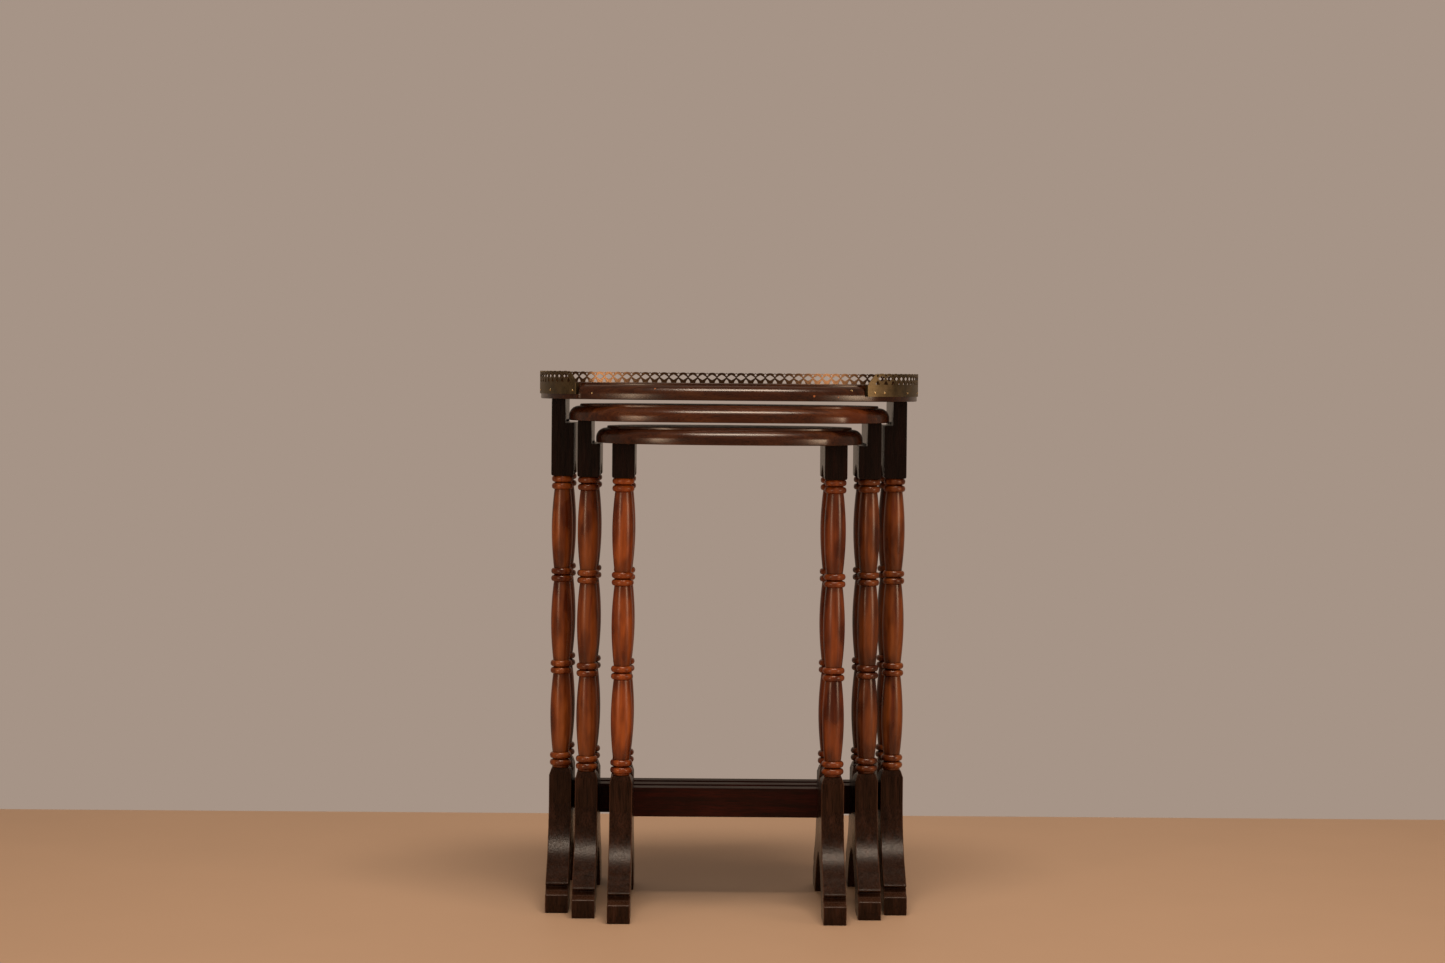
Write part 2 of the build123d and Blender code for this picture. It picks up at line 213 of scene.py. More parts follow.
def arc_between(a, b, radius, steps):
    """The short arc from a to b that bulges to the left of the way, or right if radius < 0."""
    half = hypot(b[0] - a[0], b[1] - a[1]) / 2
    reach = sqrt(radius ** 2 - half ** 2) * (1 if radius > 0 else -1)
    middle = ((a[0] + b[0]) / 2, (a[1] + b[1]) / 2)
    left = (-(b[1] - a[1]) / (2 * half), (b[0] - a[0]) / (2 * half))
    centre = (middle[0] - left[0] * reach, middle[1] - left[1] * reach)
    start = atan2(a[1] - centre[1], a[0] - centre[0])
    turn = atan2(b[1] - centre[1], b[0] - centre[0]) - start
    turn = (turn + pi) % (2 * pi) - pi
    return arc(centre, abs(radius), start * 180 / pi, (start + turn) * 180 / pi, steps)


shortest_mitre = 0.35          # keeps the mitre of a very sharp corner from running away


def shrunk(points, depth):
    """A closed outline, anticlockwise, moved inwards by depth with its corners mitred."""
    moved = []
    for i, (x, y) in enumerate(points):
        before, after = points[i - 1], points[(i + 1) % len(points)]
        n1, n2 = [Vector((b[1] - a[1], a[0] - b[0])).normalized()
                  for a, b in ((before, (x, y)), ((x, y), after))]
        mitre = (n1 + n2) / max(shortest_mitre, 1 + n1.dot(n2))
        moved.append((x - mitre.x * depth, y - mitre.y * depth))
    return moved


spindle_spacing = 88 * mm
post_half = 11.75 * mm
post_shoulder = 7 * mm         # height over which a post tapers in to its spindle
post_taper = 2.4 * mm
arris = 0.9 * mm
foot_low, foot_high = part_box("large_left_foot")
post_top = foot_high.z
foot_tip = (foot_high.y - foot_low.y) / 2
shoulder_z = post_top - post_shoulder
arch_top = 55 * mm             # the pointed arch under the foot
arch_end = 77 * mm
saddle_drop = 13 * mm          # the hollow between the posts
saddle_corner = 2 * mm
toe_slope_z = 21 * mm          # the slope on a toe, painted lighter as light from above
toe_slope_half = 2.5 * mm
toe_length = 10 * mm
toe_slope_light = 0.3


def foot_outline():
    """The front half of a foot's side, from the middle of its arch round to its saddle."""
    inner = spindle_spacing / 2 - post_half
    outer = spindle_spacing / 2 + post_half
    tip = foot_tip
    saddle_z = post_top - saddle_drop
    saddle_rise = saddle_drop - saddle_corner
    crease_z = 106 * mm
    sweep = arc_between((outer + 42.8 * mm, 44.9 * mm), (outer, crease_z), 82 * mm, 24)
    brow = (tip - 8.6 * mm, 30.5 * mm)
    # The pointed arch, the toe's eased lower corner, its upright face and its rounded nose.
    half = [(0, arch_top)] + arc_between((0, arch_top), (arch_end, 0), 100 * mm, 26)[1:]
    half += [(tip - 3.5 * mm, 0), (tip - 2.2 * mm, 0.5 * mm), (tip - 1.5 * mm, 1.8 * mm)]
    half += arc_between((tip - 0.3 * mm, 9 * mm), (tip, 16.6 * mm), -90 * mm, 4)
    half += arc((tip - 3 * mm, 17 * mm), 3 * mm, 5, 76, 8)
    # The slope behind the nose (painted light), the small step in it, and the brow over the step.
    half += arc_between((tip - 2.8 * mm, 20.1 * mm), (tip - 9.5 * mm, 22.4 * mm), -30 * mm, 5)
    half += [(tip - 13 * mm, 25.6 * mm), (tip - 13.2 * mm, 26.6 * mm)]
    half += arc((brow[0] - 1.4 * mm, brow[1] - 1.2 * mm), 1.4 * mm, -50, 42, 6)
    # The back of the toe, the long sweep up to the post, and the post's shoulders and top.
    half += arc_between((brow[0] - 1.4 * mm, brow[1] + 0.6 * mm), sweep[0], 400 * mm, 12)
    half += sweep[1:]
    half += [(outer, shoulder_z), (outer - post_taper, post_top)]
    half += [(inner + 1.4 * mm, post_top), (inner, post_top - saddle_corner)]
    # The saddle, with a point added where it crosses the height of the shoulders.
    radius = (inner ** 2 + saddle_rise ** 2) / (2 * saddle_rise)
    saddle = arc_between((inner, post_top - saddle_corner), (0, saddle_z), -radius, 18)[1:-1]
    crossing = next(i for i, p in enumerate(saddle) if p[1] < shoulder_z)
    a, b = saddle[crossing - 1], saddle[crossing]
    share = (a[1] - shoulder_z) / (a[1] - b[1])
    saddle.insert(crossing, (a[0] + (b[0] - a[0]) * share, shoulder_z))
    return half + saddle + [(0, saddle_z)]


arris_steps = 3


def prism(outline, low_x, high_x, edge):
    """A board with that side outline, its arrises rounded; rings run from low to high X."""
    turns = [radians(90 * i / arris_steps) for i in range(arris_steps + 1)]
    rings, wear_and_painted_light = [], []
    for face, way in ((low_x, 1), (high_x, -1)):
        for turn in turns if way == 1 else reversed(turns):
            inset = edge * (1 - sin(turn))
            x = face + way * edge * (1 - cos(turn))
            rings.append([(x, p[0], p[1]) for p in shrunk(outline, inset)])
            wear_and_painted_light += [sin(2 * turn)] * len(outline)
    verts, faces = loft(rings)
    return verts, faces, wear_and_painted_light


front_half = foot_outline()
foot_side = front_half + [(-y, z) for y, z in reversed(front_half[1:-1])]
for table, body in tables.items():
    for side in sides:
        name = f"{table}_{side}_foot"
        low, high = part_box(name)
        middle = (low + high) / 2
        verts, faces, wear_and_painted_light = prism(foot_side, low.x, high.x, arris)
        # The toe's slope is painted lighter, standing in for the light that falls on it from
        # above.
        on_lit_slope = [abs(y) > foot_tip - toe_length and abs(z - toe_slope_z) < toe_slope_half
                    for x, y, z in verts]
        wear_and_painted_light = [max(w, toe_slope_light * slope) for w, slope in zip(wear_and_painted_light, on_lit_slope)]
        # Each side of the board is three flat faces, so that the posts can taper by themselves.
        count = len(foot_side)
        posts = [[i for i, p in enumerate(foot_side)
                  if p[1] >= shoulder_z - 1e-9 and p[0] * way > 0] for way in (1, -1)]
        lower = [i for i in range(count)
                 if not any(i in post[1:-1] for post in posts)]
        last = len(verts) - count
        for loop in (lower, *posts):
            faces.append(tuple(reversed(loop)))
            faces.append(tuple(last + i for i in loop))
        placed = []
        for x, y, z in verts:
            if z > shoulder_z:
                squeeze = 1 - post_taper / post_half * (z - shoulder_z) / post_shoulder
                x = middle.x + (x - middle.x) * squeeze
            placed.append((x, middle.y + y, z))
        piece(f"{name}_board", placed, faces, foot_wood, body, "dark_wood", name, wear_and_painted_light=wear_and_painted_light)


# ---- Stretchers ---------------------------------------------------------------------------
# A plain planed rail of the same stained wood joins each table's feet behind, with a stub
# tenon in each foot. It is redder than the feet, and its upper arrises are just broken.
def rounded_box(half_y, half_z, edge):
    """A rectangle about the origin with rounded corners, anticlockwise."""
    corners = ((half_y, -half_z, -90), (half_y, half_z, 0), (-half_y, half_z, 90),
               (-half_y, -half_z, 180))
    points = []
    for y, z, start in corners:
        centre = (y - edge * (1 if y > 0 else -1), z - edge * (1 if z > 0 else -1))
        points += arc(centre, edge, start, start + 90, arris_steps)
    return points


def capped(rings):
    """A loft with its two open ends filled."""
    verts, faces = loft(rings)
    count = len(rings[0])
    last = len(verts) - count
    return verts, faces + [tuple(reversed(range(count))), tuple(last + i for i in range(count))]


def red_stained(name, along):
    """The same wood with a thinner, redder stain and a soft polish: dark oxblood, low sheen."""
    material, tree, shader = new_material(name)
    pores = grain(tree, along, 0.8 * mm, 22)
    figure = grain(tree, along, 5 * mm, 12)
    base = ramp(tree, figure, (0.3, "#1e0602"), (0.52, "#300a03"), (0.74, "#3f1006"))
    dark = ramp(tree, pores, (0.36, "#77655a"), (0.56, "#ffffff"))
    grained = node(tree, "Mix", {"data_type": "RGBA", "blend_type": "MULTIPLY"},
                   i0=0.7, i6=base, i7=dark)
    tree.links.new(grained.outputs[2], shader.inputs["Base Color"])
    gloss = node(tree, "MapRange", Value=figure, From_Min=0.3, From_Max=0.7,
                 To_Min=0.4, To_Max=0.55)
    tree.links.new(gloss.outputs[0], shader.inputs["Roughness"])
    shader.inputs["Specular IOR Level"].default_value = 0.2
    bump = node(tree, "Bump", Strength=0.3, Distance=0.1 * mm, Height=pores)
    tree.links.new(bump.outputs[0], shader.inputs["Normal"])
    return material


stretcher_wood = red_stained("red_stained_hardwood_level", "X")
low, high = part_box("large_stretcher")
stretcher_half = ((high.y - low.y) / 2, (high.z - low.z) / 2)
stretcher_tenon = 12 * mm
tenon_shoulder = 5 * mm
tenon_edge = 0.6 * mm
stretcher_edge = 1.2 * mm
for table, body in tables.items():
    low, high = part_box(f"{table}_stretcher")
    middle = (low + high) / 2
    reach = (high.x - low.x) / 2
    rings = []
    shoulder = reach - stretcher_tenon
    stations = ((-reach, tenon_shoulder, tenon_edge), (-shoulder, tenon_shoulder, tenon_edge),
                (-shoulder, 0, stretcher_edge), (shoulder, 0, stretcher_edge),
                (shoulder, tenon_shoulder, tenon_edge), (reach, tenon_shoulder, tenon_edge))
    for x, inset, edge in stations:
        section = rounded_box(stretcher_half[0] - inset, stretcher_half[1] - inset, edge)
        rings.append([(middle.x + x, middle.y + y, middle.z + z) for y, z in section])
    verts, faces = capped(rings)
    piece(f"{table}_stretcher_rail", verts, faces, stretcher_wood, body, "dark_wood",
          f"{table}_stretcher")


# ---- Spindles -----------------------------------------------------------------------------
# Twelve turned legs of stained beech: three long swells between four pairs of beads, under a
# clear lacquer that is thick and glossy. Painted shade darkens the grooves and necks by the beads,
# and the stain is darker towards the ends of the swells.
ends = ("front", "rear")
neck_radius = 8.7 * mm
swell_radius = 11.3 * mm
bead_radius = 3.3 * mm
bead_spacing = 7.6 * mm
bead_reach = 11.5 * mm
groove_radius = 8.3 * mm
low_bead_inset = 9.2 * mm
high_bead_inset = 7.2 * mm
tenon_radius = 6 * mm
tenon_length = 18 * mm
swells = 3
bead_steps = 9
swell_steps = 24
bead_fullness = 0.8            # below 1, a bead is fuller than a round one
swell_fullness = 0.9
tenon_ease = 0.6 * mm
shoulder_ease = 0.3 * mm
quirk = 0.5 * mm               # the little gap between a bead and a swell
spindle_foot = post_top
spindle_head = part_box("large_left_front_spindle")[1].z - tenon_length


def spindle_profile():
    """(radius, height) from the bottom tenon to the top one."""
    low_pair = spindle_foot + low_bead_inset
    pitch = (spindle_head - high_bead_inset - low_pair) / swells
    points = [(tenon_radius - tenon_ease, spindle_foot - tenon_length),
              (tenon_radius, spindle_foot - tenon_length + tenon_ease),
              (tenon_radius, spindle_foot), (neck_radius - shoulder_ease, spindle_foot),
              (neck_radius, spindle_foot + shoulder_ease)]
    for pair in range(swells + 1):
        middle = low_pair + pair * pitch
        for bead in (-1, 1):
            z = middle + bead * bead_spacing / 2
            for i in range(bead_steps + 1):
                turn = radians(-82 + 164 * i / bead_steps)
                bulge = (bead_reach - groove_radius) * cos(turn) ** bead_fullness
                points.append((groove_radius + bulge, z + bead_radius * sin(turn)))
            if bead < 0:
                points.append((groove_radius - 0.25 * mm, middle))
        if pair < swells:
            start = middle + bead_spacing / 2 + bead_radius + quirk
            stop = middle + pitch - bead_spacing / 2 - bead_radius - quirk
            points.append((groove_radius + 0.1 * mm, start - 0.3 * mm))
            for i in range(swell_steps + 1):
                share = i / swell_steps
                bulge = (swell_radius - neck_radius) * sin(pi * share) ** swell_fullness
                points.append((neck_radius + bulge, start + (stop - start) * share))
            points.append((groove_radius + 0.1 * mm, stop + 0.3 * mm))
    points += [(neck_radius, spindle_head - shoulder_ease),
               (neck_radius - shoulder_ease, spindle_head), (tenon_radius, spindle_head),
               (tenon_radius, spindle_head + tenon_length - tenon_ease),
               (tenon_radius - tenon_ease, spindle_head + tenon_length)]
    return points


def lacquered_beech(name, code_dark, code_mid, code_light, seed):
    """Amber lacquer over stained beech: long streaks, dark clouds, a smooth wet gloss.

    Its wear_and_painted_light is painted shade in the grooves and necks, and darker stain near
    them.
    """
    material, tree, shader = new_material(name)
    place = node(tree, "TexCoord").outputs["Object"]
    mapping = node(tree, "Mapping", Vector=place, Location=(seed, seed * 0.37, seed * 0.71),
                   Scale=(1 / (5 * mm), 1 / (5 * mm), 1 / (70 * mm)))
    streaks = node(tree, "TexNoise", Vector=mapping.outputs[0], Scale=1.0, Detail=5.0,
                   Roughness=0.55, Distortion=0.4).outputs["Fac"]
    clouds = node(tree, "Mapping", Vector=place, Location=(seed * 0.3, seed, 0.0),
                  Scale=(1 / (16 * mm), 1 / (16 * mm), 1 / (45 * mm)))
    cloud = node(tree, "TexNoise", Vector=clouds.outputs[0], Scale=1.0, Detail=2.0).outputs["Fac"]
    base = ramp(tree, streaks, (0.3, code_dark), (0.5, code_mid), (0.72, code_light))
    shade = ramp(tree, cloud, (0.36, "#84644f"), (0.58, "#ffffff"))
    clouded = node(tree, "Mix", {"data_type": "RGBA", "blend_type": "MULTIPLY"},
                   i0=0.85, i6=base, i7=shade)
    # The rings' painted shade in the grooves and necks, and their darker stain, take the colour
    # towards near black.
    shade_and_stain = node(tree, "Attribute", {"attribute_name": "wear_and_painted_light"}).outputs["Fac"]
    shaded_and_stained = node(tree, "Mix", {"data_type": "RGBA"}, i0=shade_and_stain, i6=clouded.outputs[2],
                 i7=linear("#1c0b04"))
    tree.links.new(shaded_and_stained.outputs[2], shader.inputs["Base Color"])
    fine = grain(tree, "Z", 0.6 * mm, 30)
    gloss = node(tree, "MapRange", Value=cloud, From_Min=0.3, From_Max=0.7,
                 To_Min=0.25, To_Max=0.33)
    tree.links.new(gloss.outputs[0], shader.inputs["Roughness"])
    bump = node(tree, "Bump", Strength=0.03, Distance=0.05 * mm, Height=fine)
    tree.links.new(bump.outputs[0], shader.inputs["Normal"])
    return material


beech_finishes = {
    ("large", "left"): ("#702f0e", "#8a4619", "#a05726"),
    ("large", "right"): ("#66290c", "#7e4117", "#925022"),
    ("medium", "left"): ("#6e2f0f", "#884519", "#9e5526"),
    ("medium", "right"): ("#56240b", "#6d3612", "#80441c"),
    ("small", "left"): ("#762f0d", "#954817", "#a95722"),
    ("small", "right"): ("#62260c", "#7c3a14", "#8e481e"),
}
profile = spindle_profile()
around_count = 64
groove_shade_radius, groove_shade_fade = 8.75 * mm, 0.5 * mm        # painted shade darkens the turning below this radius,
stain_radius, stain_fade = 10.3 * mm, 1.4 * mm      # and a darker stain reaches out to this one
# Each ring's painted shade in the grooves and necks, plus the darker stain near the swells' ends.
shade_and_stain_by_ring = [0.6 * min(1.0, max(0.0, (groove_shade_radius - r) / groove_shade_fade))
          + 0.3 * min(1.0, max(0.0, (stain_radius - r) / stain_fade)) for r, z in profile]
for number, (table, body) in enumerate(tables.items()):
    for side in sides:
        for end in ends:
            name = f"{table}_{side}_{end}_spindle"
            low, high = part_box(name)
            middle = (low + high) / 2
            seed = number * 1.7 + (side == "right") * 5.3 + (end == "rear") * 9.1
            finish = lacquered_beech(f"lacquered_beech_{table}_{side}_{end}",
                                     *beech_finishes[table, side], seed)
            rings = [[(middle.x + r * cos(2 * pi * i / around_count),
                       middle.y + r * sin(2 * pi * i / around_count), z)
                      for i in range(around_count)] for r, z in profile]
            verts, faces = capped(rings)
            wear_and_painted_light = [share for share in shade_and_stain_by_ring for i in range(around_count)]
            piece(f"{name}_turning", verts, faces, finish, body, "turned_wood", name,
                  wear_and_painted_light=wear_and_painted_light, flat_below=50)


# ---- Side rails ---------------------------------------------------------------------------
# One short board over each pair of spindles, of the stained wood, with a shallow arch below
# and a rebate along its inner upper edge that lets the next table's top slide through.
rail_arch_rise = 13 * mm
rebate_depth = 9 * mm
rebate_floors = {"large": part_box("medium_top")[0].z - 3 * mm,
                 "medium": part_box("small_top")[0].z - 1.5 * mm, "small": None}
arch_steps = 24
rail_edge = 1.0 * mm
rail_end_edge = 0.6 * mm
rail_foot_edge = 2.2 * mm      # softer corners where a rail sits on its spindles
rail_wood = stained_wood("black_stained_hardwood_rail", "Z", ("#110704", "#190b07", "#230f09"),
                         0.25)


def rail_section(bottom, top, inward, floor):
    """A rail's cross section in X and Z about its own middle, anticlockwise.

    The rebate is cut on the inward side down to its floor; with no floor there is none.
    """
    half = post_half
    if floor is None:
        corners = [(-half, bottom), (half, bottom), (half, top), (-half, top)]
    elif inward > 0:
        corners = [(-half, bottom), (half, bottom), (half, floor), (half - rebate_depth, floor),
                   (half - rebate_depth, top), (-half, top)]
    else:
        corners = [(-half, bottom), (half, bottom), (half, top), (-half + rebate_depth, top),
                   (-half + rebate_depth, floor), (-half, floor)]
    points = []
    for i, corner in enumerate(corners):
        here = Vector(corner)
        before = Vector(corners[i - 1])
        after = Vector(corners[(i + 1) % len(corners)])
        edge = rail_foot_edge if i < 2 else rail_edge
        a = here + (before - here).normalized() * edge
        b = here + (after - here).normalized() * edge
        for share in (0, 0.3, 0.7, 1):      # a small curve from a to b under the corner
            points.append(tuple((a * (1 - share) + here * share) * (1 - share)
                                + (here * (1 - share) + b * share) * share))
    return points


arch_half = spindle_spacing / 2 - post_half
arch_radius = (arch_half ** 2 + rail_arch_rise ** 2) / (2 * rail_arch_rise)
arch_lip = 0.01 * mm           # keeps the last flat section just outside the arch
for table, body in tables.items():
    for side, way in sides.items():
        name = f"{table}_{side}_rail"
        low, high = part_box(name)
        middle = (low + high) / 2
        half_y = (high.y - low.y) / 2
        places = [-half_y, -half_y + 0.3 * rail_end_edge, -half_y + rail_end_edge,
                  -arch_half - arch_lip]
        places += [-arch_half * cos(pi * i / arch_steps) for i in range(arch_steps + 1)]
        places += [-y for y in reversed(places[:4])]
        rings = []
        for y in places:
            inset = max(0.0, rail_end_edge - (half_y - abs(y)))
            inset = rail_end_edge - sqrt(max(0.0, rail_end_edge ** 2 - inset ** 2))
            bottom = low.z
            if abs(y) < arch_half:
                bottom += sqrt(arch_radius ** 2 - y ** 2) - (arch_radius - rail_arch_rise)
            section = shrunk(rail_section(bottom, high.z, -way, rebate_floors[table]), inset)
            rings.append([(middle.x + x, middle.y + y, z) for x, z in section])
        verts, faces = capped(rings)
        piece(f"{name}_board", verts, [tuple(reversed(f)) for f in faces], rail_wood, body,
              "dark_wood", name)


# ---- Screws -------------------------------------------------------------------------------
# Countersunk steel wood screws, driven up through the rails into the tops. They sit deep in
# their counterbores, and a thin film of old oil leaves them a patchy grey gleam.
screw_steel, tree, shader = new_material("oiled_screw_steel")
film = grain(tree, "Z", 1.2 * mm, 1)
tree.links.new(ramp(tree, film, (0.3, "#6d6963"), (0.7, "#a09c95")), shader.inputs["Base Color"])
shader.inputs["Metallic"].default_value = 1.0
worn_gloss = node(tree, "MapRange", Value=film, To_Min=0.3, To_Max=0.5)
tree.links.new(worn_gloss.outputs[0], shader.inputs["Roughness"])
for table in tables:
    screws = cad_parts[f"{table}_top_screws"]
    screws.data.materials.clear()
    screws.data.materials.append(screw_steel)


# ---- Tops of the two smaller tables -------------------------------------------------------
# Solid mahogany boards, bowed on all four sides with soft corners. A quarter round and a
# small step run round the upper edge, and the whole is French polished to a deep gloss.
class Plan:
    """The plan shape of a top: bowed front, back and ends, joined by round corners."""

    def __init__(self, name, front_bow, side_bow, corner):
        low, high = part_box(name)
        self.middle = (low + high) / 2
        half_width = (high.x - low.x) / 2
        half_depth = (high.y - low.y) / 2
        self.bows = (front_bow, side_bow, corner)
        front = Vector((0, front_bow - half_depth))
        side = Vector((half_width - side_bow, 0))
        # The corner's centre lies one bow less one corner radius from each bow's centre.
        apart = (side - front).length
        from_front, from_side = front_bow - corner, side_bow - corner
        along = (from_front ** 2 - from_side ** 2 + apart ** 2) / (2 * apart)
        across = sqrt(from_front ** 2 - along ** 2)
        heading = (side - front) / apart
        turned = Vector((-heading.y, heading.x))
        self.centres = (front, side, front + heading * along + turned * across)
        gap = self.centres[2] - front
        self.front_turn = atan2(gap.x, -gap.y)
        gap = self.centres[2] - side
        self.side_turn = atan2(-gap.y, gap.x)

    def quarter(self, steps):
        """(centre, radius, angle) of points from the middle of the front to the right end."""
        front, side, corner = self.centres
        front_bow, side_bow, corner_radius = self.bows
        runs = ((front, front_bow, -pi / 2, -pi / 2 + self.front_turn, steps[0]),
                (corner, corner_radius, -pi / 2 + self.front_turn, -self.side_turn, steps[1]),
                (side, side_bow, -self.side_turn, 0, steps[2]))
        found = []
        for centre, radius, start, stop, count in runs:
            found += [(centre, radius, start + (stop - start) * i / count) for i in range(count)]
        return found + [(side, side_bow, 0.0)]

    def columns(self, steps):
        """(place, outward) pairs all round, anticlockwise from the middle of the front."""
        quarter = []
        for centre, radius, angle in self.quarter(steps):
            out = Vector((cos(angle), sin(angle)))
            quarter.append((centre + out * radius, out))
        flip = Matrix(((1, 0), (0, -1)))
        half = quarter + [(flip @ p, flip @ n) for p, n in reversed(quarter[:-1])]
        mirror = Matrix(((-1, 0), (0, 1)))
        full = half + [(mirror @ p, mirror @ n) for p, n in reversed(half[1:-1])]
        return full


top_steps = (30, 22, 20)
ovolo_steps = 20
ovolo_radius = 10.5 * mm
field_inset = 11.5 * mm
field_step = 2.3 * mm
field_ring = 16 * mm           # inside this line a top is one flat face
under_ring = 16 * mm


def eased_underside(under):
    """(inset, height) from the middle of the underside round its eased lower edge."""
    return [(under_ring, under), (0.9 * mm, under), (0.27 * mm, under + 0.27 * mm),
            (0, under + 0.9 * mm)]


def moulded_profile(under, surface):
    """(inset, height) from the middle of the underside to the middle of the field."""
    shoulder = surface - field_step
    start = shoulder - ovolo_radius
    points = eased_underside(under) + [(0, start)]
    for i in range(1, ovolo_steps + 1):
        turn = radians(90 / ovolo_steps * i)
        points.append((ovolo_radius * (1 - cos(turn)), start + ovolo_radius * sin(turn)))
    points += [(field_inset - 0.15 * mm, shoulder), (field_inset, shoulder + 0.15 * mm),
               (field_inset + 0.1 * mm, surface - 0.7 * mm),
               (field_inset + 0.3 * mm, surface - 0.22 * mm),
               (field_inset + 0.85 * mm, surface), (field_ring, surface)]
    return points


def french_polished(name, seed, code_dark, code_mid, code_light):
    """Red-brown mahogany: ribboned figure, short dark pores, small pale chips, shellac's gloss.

    Its wear_and_painted_light is a painted patch of warm light on the middle top's front. The
    pores are wider than real ones, so that they show.
    """
    material, tree, shader = new_material(name)
    place = node(tree, "TexCoord").outputs["Object"]
    mapping = node(tree, "Mapping", Vector=place, Location=(seed, seed * 1.3, seed * 0.4),
                   Scale=(1 / (150 * mm), 1 / (9 * mm), 1 / (9 * mm)))
    figure = node(tree, "TexNoise", Vector=mapping.outputs[0], Scale=1.0, Detail=6.0,
                  Roughness=0.62, Distortion=0.6).outputs["Fac"]
    pores = grain(tree, "X", 0.55 * mm, 18)
    base = ramp(tree, figure, (0.28, code_dark), (0.5, code_mid), (0.74, code_light))
    dark = ramp(tree, pores, (0.34, "#5f4a42"), (0.5, "#ffffff"))
    grained = node(tree, "Mix", {"data_type": "RGBA", "blend_type": "MULTIPLY"},
                   i0=0.75, i6=base, i7=dark)
    clouds = grain(tree, "X", 30 * mm, 2, 2.0)
    gloss = node(tree, "MapRange", Value=clouds, From_Min=0.3, From_Max=0.7,
                 To_Min=0.19, To_Max=0.28)
    tree.links.new(gloss.outputs[0], shader.inputs["Roughness"])
    hand = grain(tree, "X", 14 * mm, 3, 1.0)
    bump = node(tree, "Bump", Strength=0.08, Distance=0.25 * mm, Height=hand)
    fine = node(tree, "Bump", Strength=0.015, Distance=0.05 * mm, Height=pores,
                Normal=bump.outputs[0])
    tree.links.new(fine.outputs[0], shader.inputs["Normal"])
    chip = node(tree, "TexVoronoi", Vector=place, Scale=1 / (26 * mm), Randomness=1.0)
    tint = node(tree, "MapRange", Value=chip.outputs["Distance"], From_Min=0.035, From_Max=0.055,
                To_Min=1.0, To_Max=0.0)
    chipped = node(tree, "Mix", {"data_type": "RGBA"}, i0=tint.outputs[0], i6=grained.outputs[2],
                   i7=linear("#a8643a"))
    # A painted patch of warm light tints the front towards red where its attribute marks it.
    lit_patch_mask = node(tree, "Attribute", {"attribute_name": "wear_and_painted_light"}).outputs["Fac"]
    lit_patch_tinted = node(tree, "Mix", {"data_type": "RGBA"}, i0=lit_patch_mask, i6=chipped.outputs[2],
                    i7=linear("#6b3216"))
    tree.links.new(lit_patch_tinted.outputs[2], shader.inputs["Base Color"])
    return material


plans = {"medium": Plan("medium_top", 300 * mm, 152 * mm, 56 * mm),
         "small": Plan("small_top", 215 * mm, 135 * mm, 46 * mm)}
mahogany = {"large": french_polished("french_polished_mahogany_large", 3.1, "#241007", "#3a1c0d",
                                     "#523018"),
            "medium": french_polished("french_polished_mahogany_medium", 7.7, "#2b1307",
                                      "#47220e", "#643a1f"),
            "small": french_polished("french_polished_mahogany_small", 12.9, "#251108",
                                     "#3c1e0f", "#55301b")}


def board(columns, profiles, middle):
    """A board from a profile of (inset, height) for each column round its plan."""
    rings = []
    for (place, out), profile in zip(columns, profiles):
        rings.append([(middle.x + place.x - out.x * inset, middle.y + place.y - out.y * inset, z)
                      for inset, z in profile])
    verts = [p for ring in rings for p in ring]
    rows = len(profiles[0])
    faces = []
    for c in range(len(rings)):
        a, b = c * rows, (c + 1) % len(rings) * rows
        faces += [(a + r, b + r, b + r + 1, a + r + 1) for r in range(rows - 1)]
    faces.append(tuple(c * rows + rows - 1 for c in range(len(rings))))
    faces.append(tuple(c * rows for c in reversed(range(len(rings)))))
    return verts, faces


lit_patch_start, lit_patch_end = 96 * mm, 141 * mm     # where a patch of warm light is painted on the middle top's front
lit_patch_reach = 30 * mm
lit_patch_strength = 0.42
for table, plan in plans.items():
    name = f"{table}_top"
    low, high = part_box(name)
    columns = plan.columns(top_steps)
    profile = moulded_profile(low.z, high.z)
    verts, faces = board(columns, [profile] * len(columns), plan.middle)
    # A patch of warm light is painted on the middle top's front, near its right corner.
    lit_patch = [lit_patch_strength * min(1.0, max(0.0, (x - lit_patch_start) / lit_patch_reach))
            * (x < lit_patch_end and y < 0) * (table == "medium") for x, y, z in verts]
    piece(f"{name}_board", verts, faces, mahogany[table], tables[table], "polished_mahogany",
          name, wear_and_painted_light=lit_patch, flat_below=40)


# ---- Top of the largest table -------------------------------------------------------------
# The same mahogany, square edged where the brass strip covers it, and moulded only across
# the open front. A slot beside each end of the moulding takes the turned-in end of the strip.
opening_left = 160.2 * mm
opening_right = 142 * mm
kerf_width = 3.5 * mm
kerf_depth = 6 * mm
strip_drop = 12.2 * mm
large_plan = Plan("large_top", 310 * mm, 163 * mm, 80 * mm)
large_low, large_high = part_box("large_top")
surface = large_high.z
facing_front = -0.5            # an outward direction's Y, below which it belongs to the front
nearest_column = 1.2 * mm      # a plain column closer than this to a slot's side is left out


def square_profile(under, top):
    """The same rows as moulded_profile, for an edge that stands straight."""
    start = eased_underside(under)
    end = [(0.1 * mm, top - 0.1 * mm), (0.5 * mm, top), (8 * mm, top), (field_ring, top)]
    between = len(moulded_profile(under, top)) - len(start) - len(end)
    low, high = top - strip_drop, top - 0.5 * mm
    return start + [(0, low + (high - low) * i / (between - 1)) for i in range(between)] + end


def slot_profile(under, top):
    """The same rows again, cut back to the bottom of the slot."""
    low = top - strip_drop
    start = eased_underside(under) + [(0, low), (kerf_depth, low)]
    end = [(8 * mm, top), (field_ring, top)]
    between = len(moulded_profile(under, top)) - len(start) - len(end)
    return start + [(kerf_depth, low + (top - low) * (i + 1) / between)
                    for i in range(between)] + end


